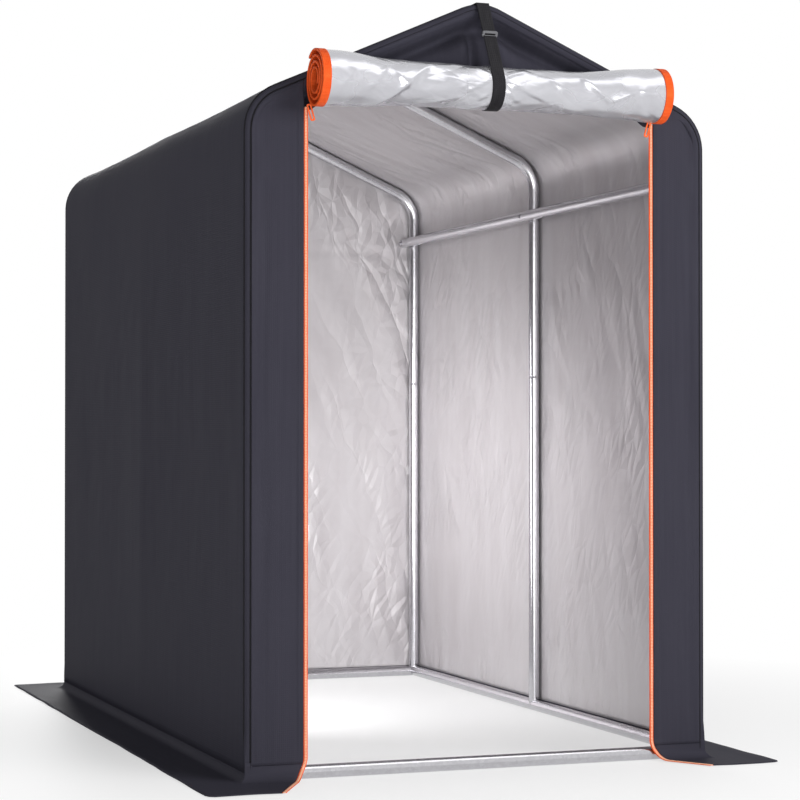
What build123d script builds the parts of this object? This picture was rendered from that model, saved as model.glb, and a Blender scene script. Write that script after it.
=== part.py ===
from build123d import *
import math
import os

# A bike shelter: a coated cloth cover with a zipped doorway, over a frame of three tube arches.
# Millimetres, +Z up. The doorway faces -Y, and the origin is on the ground under the middle.

# Cover, over its outer faces
cover_width = 1400
cover_depth = 2400
wall_height = 1868  # where the plane of a wall meets the plane of the roof
roof_pitch = 24  # degrees
cloth = 2.5
skirt_width = 160
skirt_bend = 25
skirt_corner = 25

# Doorway and its zips
door_width = 1050
header_share = 0.2  # of the way from the wall height up to the roof above the door's edge
flap_flare = 120
zip_width = 10
pull_length = 48
pull_width = 14
pull_rim = 4
pull_thickness = 3
pull_drop = 28

# Door, rolled up over the doorway
roll_lift = 36
roll_core = 21
roll_pitch = 16
roll_layer = 8
roll_half_turns = 7
binding_width = 28

# Strap that holds the roll
strap_width = 38
strap_thickness = 2
strap_top_radius = 4
buckle_rim = 4
buckle_height = 16
buckle_thickness = 9
buckle_share = 0.45  # of the strap's front run, from the ridge

# Frame
tube_diameter = 32
tube_wall = 1.2
eave_bend = 120
post_joint_height = 1140
swage_length = 6
spigot_length = 60
peak_arm = 75
peak_bend = 120
rail_diameter = 25
rail_wall = 1.2
rail_spigot = 40
eave_rail_drop = 88  # below the bend of the eave

seat_gap = 0.3  # between pieces that lie on each other
overrun = 20  # how far a cutting shape passes what it cuts

# Worked out from these
half_width = cover_width / 2
half_depth = cover_depth / 2
door_half = door_width / 2
pitch = math.radians(roof_pitch)
turn = 90 - roof_pitch
tube_radius = tube_diameter / 2
tube_bore = tube_diameter - 2 * tube_wall
rail_radius = rail_diameter / 2
rail_bore = rail_diameter - 2 * rail_wall

ridge_height = wall_height + half_width * math.tan(pitch)
ridge_inside = ridge_height - cloth / math.cos(pitch)
eave_inner = eave_bend + tube_radius + seat_gap
eave_outer = eave_inner + cloth
eave_x = half_width - eave_outer
eave_z = wall_height - eave_outer * math.tan(math.radians(turn / 2))
eave_rail_height = eave_z - eave_rail_drop
skirt_top = cloth + skirt_bend

tube_inset = cloth + seat_gap + tube_radius
post_x = half_width - tube_inset
arch_y = half_depth - tube_inset
apex_z = ridge_height - tube_inset / math.cos(pitch)
corner_z = apex_z - post_x * math.tan(pitch)
peak_centre = apex_z - peak_bend / math.cos(pitch)
peak_z = peak_centre + peak_bend
ridge_top = peak_z + tube_inset
arches = {"front": -arch_y, "middle": 0, "rear": arch_y}
sides = {"left": -1, "right": 1}

roof_at_door = ridge_inside - door_half * math.tan(pitch)
door_top = wall_height + header_share * (roof_at_door - wall_height)
flap_radius = (flap_flare ** 2 + skirt_width ** 2) / (2 * flap_flare)

roll_radius = roll_core + (roll_half_turns - 1) * roll_pitch / 2 + roll_layer
roll_half = door_half
roll_y = -half_depth - 2 * seat_gap - strap_thickness - roll_radius
roll_z = door_top + roll_lift
loop_radius = roll_radius + seat_gap

FROM_END = (Align.CENTER, Align.CENTER, Align.MIN)


def bar_between(start, end, diameter):
    """A round bar from one point to another."""
    axis = Vector(*end) - Vector(*start)
    return Plane(origin=start, z_dir=axis) * Cylinder(diameter / 2, axis.length, align=FROM_END)


def tube_between(start, end, diameter, wall):
    """A straight tube from one point to another, open at both ends."""
    return bar_between(start, end, diameter) - bar_between(start, end, diameter - 2 * wall)


def bent_bar(start, corner, end, bend, diameter):
    """A round bar along two straight runs, joined by a bend in place of their corner."""
    start, corner, end = (Vector(*point) for point in (start, corner, end))
    into = (corner - start).normalized()
    out = (end - corner).normalized()
    angle = into.get_angle(out)
    back = bend * math.tan(math.radians(angle / 2))
    first, last = corner - into * back, corner + out * back
    axle = into.cross(out).normalized()
    centre = first + axle.cross(into) * bend
    elbow = revolve(Plane(origin=first, z_dir=into) * Circle(diameter / 2), Axis(centre, axle), angle)
    return bar_between(start, first, diameter) + elbow + bar_between(last, end, diameter)


def plan(points, height):
    """An upright prism over a plan outline, from below the ground to a height."""
    outline = Pos(0, 0, -overrun) * make_face(Polyline(*points, close=True))
    return extrude(outline, height + overrun)


def run_with_mitres(solid, half_run, offset, inner, outer, height):
    """Cuts a run along X at y = -offset to 45 degree mitres, between two distances from its line."""
    points = [
        (-half_run - outer, -offset - outer),
        (half_run + outer, -offset - outer),
        (half_run - inner, -offset + inner),
        (-half_run + inner, -offset + inner),
    ]
    return solid & plan(points, height)


# Frame


def base_rail(half_run, offset):
    """A tube on the ground, mitred at the corners of the base."""
    reach = tube_diameter
    start = (-half_run - reach, -offset, tube_radius)
    end = (half_run + reach, -offset, tube_radius)
    tube = tube_between(start, end, tube_diameter, tube_wall)
    return run_with_mitres(tube, half_run, offset, reach, reach, tube_diameter + overrun)


def post(side, y, at_corner):
    """A straight tube, coped to the base rails, with its top end swaged to enter the arch above."""
    spigot_radius = tube_bore / 2 - seat_gap
    shoulder = post_joint_height - swage_length
    profile = Polyline(
        (tube_bore / 2, tube_radius),
        (tube_radius, tube_radius),
        (tube_radius, shoulder),
        (spigot_radius, post_joint_height),
        (spigot_radius, post_joint_height + spigot_length),
        (spigot_radius - tube_wall, post_joint_height + spigot_length),
        (spigot_radius - tube_wall, post_joint_height),
        (tube_bore / 2, shoulder),
        close=True,
    )
    tube = Pos(side * post_x, y, 0) * revolve(Plane.XZ * make_face(profile), Axis.Z)
    saddle = tube_diameter + 2 * seat_gap
    reach = tube_diameter
    along = [(side * post_x, y + way * reach, tube_radius) for way in (-1, 1)]
    tube -= bar_between(*along, saddle)
    if at_corner:
        across = [(side * post_x + way * reach, y, tube_radius) for way in (-1, 1)]
        tube -= bar_between(*across, saddle)
    return tube


def rafter(side, y):
    """The upper half of an arch: one tube, bent at the eave, from the post to the peak."""
    foot = (side * post_x, y, post_joint_height)
    corner = (side * post_x, y, corner_z)
    top = (side * peak_arm * math.cos(pitch), y, apex_z - peak_arm * math.sin(pitch))
    outside = bent_bar(foot, corner, top, eave_bend, tube_diameter)
    return outside - bent_bar(foot, corner, top, eave_bend, tube_bore)


def peak_fitting(y, ways):
    """The bent fitting at the top of an arch, with spigots for two rafters and the ridge rails."""
    ends = [(side * peak_arm * math.cos(pitch), y, apex_z - peak_arm * math.sin(pitch)) for side in (-1, 1)]
    fitting = bent_bar(ends[0], (0, y, apex_z), ends[1], peak_bend, tube_diameter)
    reach = peak_arm + spigot_length
    for side, end in zip((-1, 1), ends):
        tip = (side * reach * math.cos(pitch), y, apex_z - reach * math.sin(pitch))
        fitting += bar_between(end, tip, tube_bore - 2 * seat_gap)
    for way in ways:
        tip = (0, y + way * (tube_radius + rail_spigot), peak_z)
        fitting += bar_between((0, y, peak_z), tip, rail_bore - 2 * seat_gap)
    return fitting


def ridge_rail(front, rear):
    """The rail between two peak fittings."""
    reach = tube_radius + seat_gap
    return tube_between((0, front + reach, peak_z), (0, rear - reach, peak_z), rail_diameter, rail_wall)


def eave_rail(side):
    """The rail along the inside of the posts, below the eave."""
    x = side * (post_x - tube_radius - seat_gap - rail_radius)
    reach = arch_y + tube_radius
    start = (x, -reach, eave_rail_height)
    return tube_between(start, (x, reach, eave_rail_height), rail_diameter, rail_wall)


# Cover


def roof_line(grow):
    """The line of the right half of the roof, end on: over the arch's bends, grown by a thickness."""
    eave = CenterArc((eave_x, eave_z), eave_inner + grow, 0, turn)
    ridge = CenterArc((0, peak_centre), peak_bend + tube_radius + seat_gap + grow, turn, roof_pitch)
    return [eave, Line(eave @ 1, ridge @ 0), ridge]


def roof_panel(side):
    """One slope of the roof, from the rounded ridge round the eave to the top of the wall."""
    outer = roof_line(cloth)
    inner = roof_line(0)
    edges = outer + inner + [Line(inner[0] @ 0, outer[0] @ 0), Line(inner[-1] @ 1, outer[-1] @ 1)]
    panel = extrude(Plane.XZ.offset(-half_depth) * make_face(edges), cover_depth)
    return panel if side > 0 else mirror(panel, about=Plane.YZ)


def side_wall(side):
    """A flat wall, from the bend of its skirt to the bend of the eave."""
    low = Pos(side * (half_width - cloth / 2), 0, skirt_top)
    return low * Box(cloth, cover_depth, eave_z - skirt_top, align=FROM_END)


def end_outline():
    """The outline that the walls and the roof leave for an end panel, from the skirt's bend up."""
    side_x = half_width - cloth
    roof = roof_line(0)
    low = Line((0, skirt_top), (side_x, skirt_top))
    edges = [low, Line(low @ 1, roof[0] @ 0), *roof, Line(roof[-1] @ 1, low @ 0)]
    half = make_face(edges)
    return half + mirror(half, about=Plane.YZ)


def end_panel(outline, back):
    """An end panel one cloth thick, with its rear face at y = back."""
    return extrude(Plane.XZ.offset(-back) * outline, cloth)


def rear_wall():
    return end_panel(end_outline(), half_depth)


def front_gable():
    """The front above the doorway."""
    above = Pos(0, door_top) * Rectangle(cover_width, ridge_height, align=(Align.CENTER, Align.MIN))
    return end_panel(end_outline() & above, cloth - half_depth)


def front_panel(side):
    """The narrow panel beside the doorway."""
    beside = Pos(door_half, 0) * Rectangle(half_width, door_top, align=(Align.MIN, Align.MIN))
    panel = end_panel(end_outline() & beside, cloth - half_depth)
    return panel if side > 0 else mirror(panel, about=Plane.YZ)


def skirt(half_run, offset):
    """A strip that leaves the wall in a bend and lies out on the ground, mitred at its corners."""
    wall = -offset
    bend = (wall - skirt_bend, skirt_top)
    upper = CenterArc(bend, skirt_bend, 0, -90)
    under = CenterArc(bend, skirt_bend + cloth, 0, -90)
    tip = wall - skirt_width
    edges = [
        upper,
        under,
        Line(upper @ 0, under @ 0),
        Line(upper @ 1, (tip, cloth)),
        Line((tip, cloth), (tip, 0)),
        Line((tip, 0), under @ 1),
    ]
    reach = half_run + skirt_width
    strip = extrude(Plane.YZ.offset(-reach) * make_face(edges), 2 * reach)
    strip = run_with_mitres(strip, half_run, offset, cloth, skirt_width, skirt_top + overrun)
    hem = RectangleRounded(2 * reach, 2 * (offset + skirt_width), skirt_corner)
    return strip & raised(hem)


def flap_plan():
    """Plan of the ground that the right front flap covers: its inner edge sweeps out from the door."""
    centre_x = door_half + flap_radius
    front = -half_depth
    reach = skirt_width + overrun
    sweep_disc = Pos(centre_x, front) * Circle(flap_radius)
    outer = Pos(centre_x, front + cloth) * Rectangle(half_width, cloth + reach, align=(Align.MIN, Align.MAX))
    step = Pos(door_half, front) * Rectangle(flap_radius, cloth, align=(Align.MIN, Align.MIN))
    return sweep_disc + outer + step


def zip_plan():
    """Plan of the tape along the flap's inner edge and under the zip."""
    centre_x = door_half + flap_radius
    front = -half_depth
    disc = Pos(centre_x, front) * Circle(flap_radius + zip_width)
    corner = Pos(centre_x, front) * Rectangle(
        flap_radius + zip_width, skirt_width + overrun, align=(Align.MAX, Align.MAX)
    )
    step = Pos(door_half, front) * Rectangle(zip_width, cloth, align=(Align.MAX, Align.MIN))
    return (disc & corner) - flap_plan() + step


def raised(outline):
    """An upright prism over a plan face, through the height of the skirt."""
    return extrude(Pos(0, 0, -overrun) * outline, skirt_top + 2 * overrun)


def front_flap(side):
    """The part of the skirt in front of one front panel."""
    flap = skirt(half_width, half_depth) & raised(flap_plan())
    return flap if side > 0 else mirror(flap, about=Plane.YZ)


def door_zip(side):
    """The zip up the door's edge, with its tape running out along the flap."""
    tape = skirt(half_width, half_depth) & raised(zip_plan())
    low = Pos(door_half - zip_width / 2, cloth / 2 - half_depth, skirt_top)
    tape += low * Box(zip_width, cloth, door_top - skirt_top, align=FROM_END)
    return tape if side > 0 else mirror(tape, about=Plane.YZ)


def zip_pull(side):
    """A looped pull that hangs in front of the zip."""
    loop = SlotOverall(pull_length, pull_width)
    loop -= SlotOverall(pull_length - 2 * pull_rim, pull_width - 2 * pull_rim)
    pull = extrude(Plane.XZ.offset(half_depth) * Rot(0, 0, 90) * loop, pull_thickness)
    x = side * (door_half - zip_width / 2)
    return Pos(x, 0, door_top - pull_drop - pull_length / 2) * pull


# Rolled door and its strap


def roll_section():
    """The rolled cloth, end on: a two-centre spiral of half rings that grow by half a pitch each."""
    section = Sketch()
    for index in range(roll_half_turns):
        inner = roll_core + index * roll_pitch / 2
        ring = Circle(inner + roll_layer) - Circle(inner)
        upper = index % 2 == 0
        edge = Align.MIN if upper else Align.MAX
        half = ring & Rectangle(4 * roll_radius, 2 * roll_radius, align=(Align.CENTER, edge))
        shift = 0 if upper else -roll_pitch / 2
        section += Pos(shift, 0) * half
    return Pos(roll_y, roll_z) * section


def rolled_length(start, end):
    """A length of the roll between two places across the doorway."""
    return extrude(Plane.YZ.offset(start) * roll_section(), end - start)


def door_roll():
    return rolled_length(binding_width - roll_half, roll_half - binding_width)


def roll_binding(side):
    """The tape that edges the rolled door, turned up with it."""
    if side > 0:
        return rolled_length(roll_half - binding_width, roll_half)
    return rolled_length(-roll_half, binding_width - roll_half)


def strap_centres():
    """Where the strap turns, in the YZ plane: round the roll, and over at the ridge."""
    top_y = roll_y + loop_radius - strap_top_radius
    top_z = ridge_top - strap_thickness - strap_top_radius
    return (roll_y, roll_z), (top_y, top_z)


def strap_loop(grow):
    """The closed line of the strap, round the roll and up to the ridge, grown by a thickness."""
    roll, top = strap_centres()
    rings = Pos(*roll) * Circle(loop_radius + grow), Pos(*top) * Circle(strap_top_radius + grow)
    return make_hull([ring.edge() for ring in rings])


def door_strap():
    band = strap_loop(strap_thickness) - strap_loop(0)
    return extrude(Plane.YZ.offset(-strap_width / 2) * band, strap_width)


def strap_buckle():
    """A slider on the front run of the strap."""
    (roll_at_y, roll_at_z), (top_y, top_z) = strap_centres()
    lean = 2 * math.atan2(top_z - roll_at_z, top_y - roll_at_y)
    normal = (math.cos(lean), math.sin(lean))
    upper = [at + (strap_top_radius + strap_thickness) * n for at, n in zip((top_y, top_z), normal)]
    lower = [at + (loop_radius + strap_thickness) * n for at, n in zip((roll_at_y, roll_at_z), normal)]
    y, z = [a + buckle_share * (b - a) for a, b in zip(upper, lower)]
    body = Box(strap_width + 2 * buckle_rim, buckle_height, buckle_thickness)
    body = fillet(body.edges().filter_by(Axis.Z), buckle_rim)
    body -= Box(strap_width + 2 * seat_gap, buckle_height, strap_thickness + 2 * seat_gap)
    place = Plane(origin=(0, y, z), x_dir=(1, 0, 0), z_dir=(0, *normal))
    return place * Pos(0, 0, -strap_thickness / 2) * body


def build():
    """Every piece of the shelter, by name."""
    pieces = {}
    quarter_turns = {"front": 0, "rear": 180, "left": -90, "right": 90}
    for name, angle in quarter_turns.items():
        run = (post_x, arch_y) if angle in (0, 180) else (arch_y, post_x)
        pieces[f"base_rail_{name}"] = Rot(0, 0, angle) * base_rail(*run)
        if name != "front":
            edge = (half_width, half_depth) if angle in (0, 180) else (half_depth, half_width)
            pieces[f"{name}_skirt"] = Rot(0, 0, angle) * skirt(*edge)
    for arch, y in arches.items():
        for name, side in sides.items():
            pieces[f"{arch}_{name}_post"] = post(side, y, at_corner=y != 0)
            pieces[f"{arch}_{name}_rafter"] = rafter(side, y)
    ways = {"front": [1], "middle": [-1, 1], "rear": [-1]}
    for arch, y in arches.items():
        pieces[f"{arch}_peak_fitting"] = peak_fitting(y, ways[arch])
    pieces["ridge_rail_front"] = ridge_rail(arches["front"], arches["middle"])
    pieces["ridge_rail_rear"] = ridge_rail(arches["middle"], arches["rear"])
    for name, side in sides.items():
        pieces[f"{name}_eave_rail"] = eave_rail(side)
        pieces[f"{name}_wall"] = side_wall(side)
        pieces[f"roof_{name}"] = roof_panel(side)
        pieces[f"front_{name}_panel"] = front_panel(side)
        pieces[f"front_{name}_flap"] = front_flap(side)
        pieces[f"{name}_zip"] = door_zip(side)
        pieces[f"{name}_zip_pull"] = zip_pull(side)
        pieces[f"{name}_roll_binding"] = roll_binding(side)
    pieces["rear_wall"] = rear_wall()
    pieces["front_gable"] = front_gable()
    pieces["door_roll"] = door_roll()
    pieces["door_strap"] = door_strap()
    pieces["strap_buckle"] = strap_buckle()
    return pieces


os.makedirs("parts", exist_ok=True)
for node, piece in build().items():
    export_step(piece, f"parts/{node}.step")
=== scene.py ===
# %% [markdown]
# # A bike shelter, dressed in Blender
# The solids of the shelter come in as a fixed frame, in metres. Everything made of cloth is modelled again
# here as thin sheets, because a sewn cover shows its life in folds, seams and edges that a plain solid
# doesn't have. Most tubes are drawn again a little stouter, and the ridge rails only get a finish.

# %% Load the frame
import math

import bpy
import numpy as np
from mathutils import Matrix, Vector, noise


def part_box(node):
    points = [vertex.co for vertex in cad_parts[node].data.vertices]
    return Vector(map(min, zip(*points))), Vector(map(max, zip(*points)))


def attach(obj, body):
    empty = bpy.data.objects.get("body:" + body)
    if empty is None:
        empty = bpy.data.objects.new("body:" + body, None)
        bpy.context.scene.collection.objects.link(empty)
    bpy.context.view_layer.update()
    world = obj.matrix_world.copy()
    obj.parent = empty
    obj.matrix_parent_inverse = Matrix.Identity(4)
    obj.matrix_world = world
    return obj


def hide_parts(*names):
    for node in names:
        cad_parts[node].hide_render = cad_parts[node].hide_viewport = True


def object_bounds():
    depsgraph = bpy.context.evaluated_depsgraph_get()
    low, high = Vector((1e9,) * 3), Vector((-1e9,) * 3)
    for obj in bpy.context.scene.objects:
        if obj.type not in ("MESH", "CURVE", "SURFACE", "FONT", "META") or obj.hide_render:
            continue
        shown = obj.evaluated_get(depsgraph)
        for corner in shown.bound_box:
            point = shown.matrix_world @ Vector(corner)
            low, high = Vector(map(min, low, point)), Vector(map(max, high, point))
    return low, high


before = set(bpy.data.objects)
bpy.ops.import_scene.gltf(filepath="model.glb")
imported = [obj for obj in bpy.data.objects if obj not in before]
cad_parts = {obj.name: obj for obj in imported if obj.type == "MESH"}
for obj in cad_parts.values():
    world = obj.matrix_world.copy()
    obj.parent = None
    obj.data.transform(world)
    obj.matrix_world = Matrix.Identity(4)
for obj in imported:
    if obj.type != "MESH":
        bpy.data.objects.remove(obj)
cad_low, cad_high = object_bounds()
print("frame", len(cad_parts), "nodes, box", [round(v, 3) for v in (*cad_low, *cad_high)])

# %% [markdown]
# ## Measures
# All the cloth follows the frame, so its sizes are read from the solids' boxes. Only what a box can't tell,
# such as the pitch of the roof and the bend of a tube, is written down again.

# %% Read the sizes of the cover
ROOF_PITCH = math.radians(24)
TUBE_BEND = 0.120
CLOTH = 0.002

wall_low, wall_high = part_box("right_wall")
post_low, post_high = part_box("front_right_post")
half_width = wall_high.x
half_depth = wall_high.y
wall_foot = wall_low.z
eave_z = wall_high.z
ridge_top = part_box("roof_right")[1].z
door_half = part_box("front_right_panel")[0].x
door_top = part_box("front_gable")[0].z
skirt_reach = cad_high.x - half_width
tube_inset = half_width - (post_low.x + post_high.x) / 2
bend_radius = TUBE_BEND + tube_inset
print("cover", 2 * half_width, "by", 2 * half_depth, "by", round(ridge_top, 4))

# %% [markdown]
# ## The camera
# The view is low and from the left of the doorway, with a long lens, so upright edges stay upright. It was
# fitted to the corners of the cover, and needs no shift.

# %% Place the camera
CAMERA_PLACE = (-2.413, -7.110, 0.957)
CAMERA_YAW = math.radians(20.10)
CAMERA_PITCH = math.radians(0.773)
CAMERA_LENS_MM = 101.6


def placed(name, data):
    """A new object in the scene, made of a mesh, a lamp or a camera."""
    thing = bpy.data.objects.new(name, data)
    bpy.context.scene.collection.objects.link(thing)
    return thing


camera = placed("camera", bpy.data.cameras.new("camera"))
camera.location = CAMERA_PLACE
camera.rotation_euler = (math.pi / 2 + CAMERA_PITCH, 0, -CAMERA_YAW)
camera.data.lens = CAMERA_LENS_MM
bpy.context.scene.camera = camera
print("camera at", CAMERA_PLACE, "lens", CAMERA_LENS_MM, "mm")

# %% [markdown]
# ## Helpers for materials
# Colours are written as sRGB hex values, as a colour picker shows them, and one function turns them to the
# linear values that shaders use. One more function adds any node, with its settings, values and links. The
# others are the few moves that every finish here is made of: two tones, a varied gloss and a relief.


# %% Colour and node helpers
def linear(hex_colour):
    """The linear RGBA of an sRGB hex colour."""
    parts = [int(hex_colour[i : i + 2], 16) / 255 for i in (1, 3, 5)]
    return [p / 12.92 if p <= 0.04045 else ((p + 0.055) / 1.055) ** 2.4 for p in parts] + [1.0]


def add_node(tree, kind, inputs=None, **settings):
    """Adds a node. A socket among the inputs is linked, and any other value is set."""
    node = tree.nodes.new(kind)
    for name, value in settings.items():
        setattr(node, name, value)
    for name, value in (inputs or {}).items():
        if isinstance(value, bpy.types.NodeSocket):
            tree.links.new(value, node.inputs[name])
        else:
            node.inputs[name].default_value = value
    return node


def new_material(name, **values):
    """A material with a principled surface, whose constant values are set on its own sockets."""
    material = bpy.data.materials.new(name)
    material.use_nodes = True
    surface = material.node_tree.nodes["Principled BSDF"]
    for key, value in values.items():
        surface.inputs[key.replace("_", " ").title().replace("Ior", "IOR")].default_value = value
    return material, material.node_tree, surface


def two_tones(tree, surface, source, dark, light, start=0.3, end=0.7):
    """Colours a surface from one tone to another, as a value goes from a start to an end."""
    node = add_node(tree, "ShaderNodeValToRGB", {"Fac": source})
    for element, place, colour in zip(node.color_ramp.elements, (start, end), (dark, light)):
        element.position = place
        element.color = linear(colour)
    tree.links.new(node.outputs["Color"], surface.inputs["Base Color"])


def vary_roughness(tree, surface, source, low, high):
    """Makes a surface less or more glossy, as a value goes from 0 to 1."""
    node = add_node(tree, "ShaderNodeMapRange", {"Value": source, "To Min": low, "To Max": high})
    tree.links.new(node.outputs["Result"], surface.inputs["Roughness"])


def emboss(tree, surface, height, strength, distance):
    """Gives a surface a fine relief."""
    node = add_node(tree, "ShaderNodeBump", {"Height": height, "Strength": strength, "Distance": distance})
    tree.links.new(node.outputs["Normal"], surface.inputs["Normal"])


def waves_per(metres):
    """The scale at which Blender's wave texture repeats once in a length."""
    return 2 * math.pi / (20 * metres)


# %% [markdown]
# ## The outside of the cover: coated polyester
# The cover is a plain-woven polyester cloth with a coating on its face. It is dull and nearly black, with a
# slight sheen at a low angle. Real threads lie about 0.5 mm apart, too fine for the render, so the weave is
# drawn 3 mm wide. Longer streaks along the warp and broad patches keep a wide wall from looking painted.

# %% Make the coated polyester
WEAVE_MM = 3.0
WEAVE_RELIEF = 0.0006
STREAK_MM = (14.0, 420.0)
PATCH_MM = 500.0


def cloth_place(tree):
    """Places on a sheet, in metres along its two ways, from the map that every sheet carries."""
    return add_node(tree, "ShaderNodeUVMap", uv_map="cloth").outputs["UV"]


def weave(tree, place, spacing_mm):
    """The height of a plain weave: threads that pass over and under each other."""
    threads = {"Vector": place, "Scale": waves_per(2 * spacing_mm / 1000)}
    ways = [add_node(tree, "ShaderNodeTexWave", threads, bands_direction=way) for way in ("X", "Y")]
    both = {0: ways[0].outputs["Fac"], 1: ways[1].outputs["Fac"]}
    return add_node(tree, "ShaderNodeMath", both, operation="ADD").outputs[0]


def stretched_noise(tree, place, sizes_mm, detail=3.0):
    """Noise whose blotches have the given sizes along the two ways of a sheet."""
    scale = [1000 / size for size in sizes_mm] + [1.0] * (3 - len(sizes_mm))
    mapped = add_node(tree, "ShaderNodeMapping", {"Vector": place, "Scale": scale}).outputs["Vector"]
    settings = {"Vector": mapped, "Scale": 1.0, "Detail": detail, "Roughness": 0.55}
    return add_node(tree, "ShaderNodeTexNoise", settings).outputs["Fac"]


def coated_polyester(name, dark, light):
    """Charcoal cloth between two tones, dull, since its weave breaks up the gloss of the coating."""
    material, tree, surface = new_material(name, specular_ior_level=0.01)
    place = cloth_place(tree)
    streaks = stretched_noise(tree, place, STREAK_MM)
    patches = stretched_noise(tree, place, (PATCH_MM, PATCH_MM), 2.0)
    both = add_node(tree, "ShaderNodeMath", {0: streaks, 1: patches}, operation="ADD").outputs[0]
    half = add_node(tree, "ShaderNodeMath", {0: both, 1: 0.5}, operation="MULTIPLY").outputs[0]
    two_tones(tree, surface, half, dark, light)
    vary_roughness(tree, surface, patches, 0.5, 0.64)
    emboss(tree, surface, weave(tree, place, WEAVE_MM), 0.22, WEAVE_RELIEF)
    return material


charcoal_cloth = coated_polyester("charcoal_coated_polyester", "#35343d", "#3b3a43")
print("made", charcoal_cloth.name)

# %% [markdown]
# ## The inside of the cover: aluminised film
# A thin film with a vapour of aluminium on it is bonded to the back of the cloth. It throws light about like
# satin, and it keeps every crease it ever got. It is part mirror, part paint, so it is only partly metallic.
# Crumpled film is flat facets that meet in sharp creases, as the edges of a bent Voronoi pattern do.

# %% Make the aluminised film
WARP_MM = 160.0
MASK_MM = 420.0
FILM_STREAK_MM = (90.0, 500.0)
FILM_PATCH_MM = (120.0, 200.0)
FILM_GLOSS_SPREAD = 0.06
FACET_REACH = 0.4
LONG_FACET_SHARES = (1.2, 4.0)
SMALL_FACET_SHARES = (0.5, 1.4)


def bent(tree, place, by):
    """Places on a sheet, shifted by soft noise so that no line drawn on them is straight for long."""
    wander = {"Vector": place, "Scale": 1000 / WARP_MM, "Detail": 2.0}
    colour = add_node(tree, "ShaderNodeTexNoise", wander).outputs["Color"]
    shift = add_node(tree, "ShaderNodeVectorMath", {0: colour, 1: (by,) * 3}, operation="MULTIPLY").outputs[0]
    return add_node(tree, "ShaderNodeVectorMath", {0: place, 1: shift}, operation="ADD").outputs[0]


def facets(tree, place, sizes_mm, turn):
    """The height of a crumpled sheet: facets of the given sizes, turned by an angle, that meet in creases."""
    shape = {"Vector": place, "Rotation": (0, 0, turn), "Scale": [size / 1000 for size in sizes_mm] + [1.0]}
    mapped = add_node(tree, "ShaderNodeMapping", shape, vector_type="TEXTURE").outputs["Vector"]
    cells = {"Vector": mapped, "Scale": 1.0}
    edge = add_node(tree, "ShaderNodeTexVoronoi", cells, feature="DISTANCE_TO_EDGE").outputs["Distance"]
    rise = add_node(tree, "ShaderNodeMapRange", {"Value": edge, "From Max": FACET_REACH}).outputs["Result"]
    patches = stretched_noise(tree, place, (MASK_MM, MASK_MM), 1.0)
    mask = {"Value": patches, "From Min": 0.35, "From Max": 0.65, "To Min": 0.15}
    here = add_node(tree, "ShaderNodeMapRange", mask, interpolation_type="SMOOTHSTEP").outputs["Result"]
    return add_node(tree, "ShaderNodeMath", {0: rise, 1: here}, operation="MULTIPLY").outputs[0]


def aluminised_film(name, dull, bright, shine, roughness, facet_mm, depth):
    """Silver film between two tones, as metallic as its shine, crumpled to facets of a size and a depth."""
    material, tree, surface = new_material(name, metallic=shine)
    place = cloth_place(tree)
    two_tones(tree, surface, stretched_noise(tree, place, FILM_STREAK_MM, 2.0), dull, bright)
    patches = stretched_noise(tree, place, FILM_PATCH_MM, 2.0)
    vary_roughness(tree, surface, patches, roughness - FILM_GLOSS_SPREAD, roughness + FILM_GLOSS_SPREAD)
    long_mm = [share * facet_mm for share in LONG_FACET_SHARES]
    small_mm = [share * facet_mm for share in SMALL_FACET_SHARES]
    long = facets(tree, bent(tree, place, 0.09), long_mm, math.radians(20))
    small = facets(tree, bent(tree, place, 0.05), small_mm, math.radians(-25))
    normal = None
    for height, share in ((long, 1.0), (small, 0.5)):
        values = {"Height": height, "Strength": 0.6, "Distance": depth * share}
        if normal:
            values["Normal"] = normal
        normal = add_node(tree, "ShaderNodeBump", values).outputs["Normal"]
    tree.links.new(normal, surface.inputs["Normal"])
    return material


silver_film = aluminised_film("aluminised_film_lining", "#c2bec0", "#cbc8ca", 0.5, 0.40, 95.0, 0.008)
roll_film = aluminised_film("aluminised_film_of_the_door", "#b9b9be", "#c8c8cd", 0.7, 0.27, 75.0, 0.0075)
print("made", silver_film.name, "and", roll_film.name)

# %% [markdown]
# ## Tubes: galvanised steel
# The tubes are dipped in zinc, which freezes in flat crystals. From a few metres off they only show as a
# faint mottle in a bright, slightly soft reflection. The crystals are 6 to 10 mm across. The ridge rails,
# high under the roof, are the only tubes that keep their solids.

# %% Make the galvanised steel
SPANGLE_MM = 8.0
SPANGLE_GLOSS_SPREAD = 0.005


def galvanised_steel(name, dull, bright, roughness):
    """Zinc-dipped steel: metal, with a mottle of crystals in its tone and gloss."""
    material, tree, surface = new_material(name, metallic=1.0)
    place = add_node(tree, "ShaderNodeTexCoord").outputs["Object"]
    cells = {"Vector": place, "Scale": 1000 / SPANGLE_MM}
    spangle = add_node(tree, "ShaderNodeTexVoronoi", cells).outputs["Color"]
    tone = add_node(tree, "ShaderNodeSeparateColor", {"Color": spangle}).outputs["Red"]
    two_tones(tree, surface, tone, dull, bright, 0.0, 1.0)
    vary_roughness(tree, surface, tone, roughness - SPANGLE_GLOSS_SPREAD, roughness + SPANGLE_GLOSS_SPREAD)
    return material


zinc_tube = galvanised_steel("galvanised_steel_tube", "#bcbbbf", "#c4c3c7", 0.22)
for name in ("ridge_rail_front", "ridge_rail_rear"):
    for material_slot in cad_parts[name].material_slots:
        material_slot.material = zinc_tube
print("made", zinc_tube.name, "for the tubes, and put it on the ridge rails")

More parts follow.
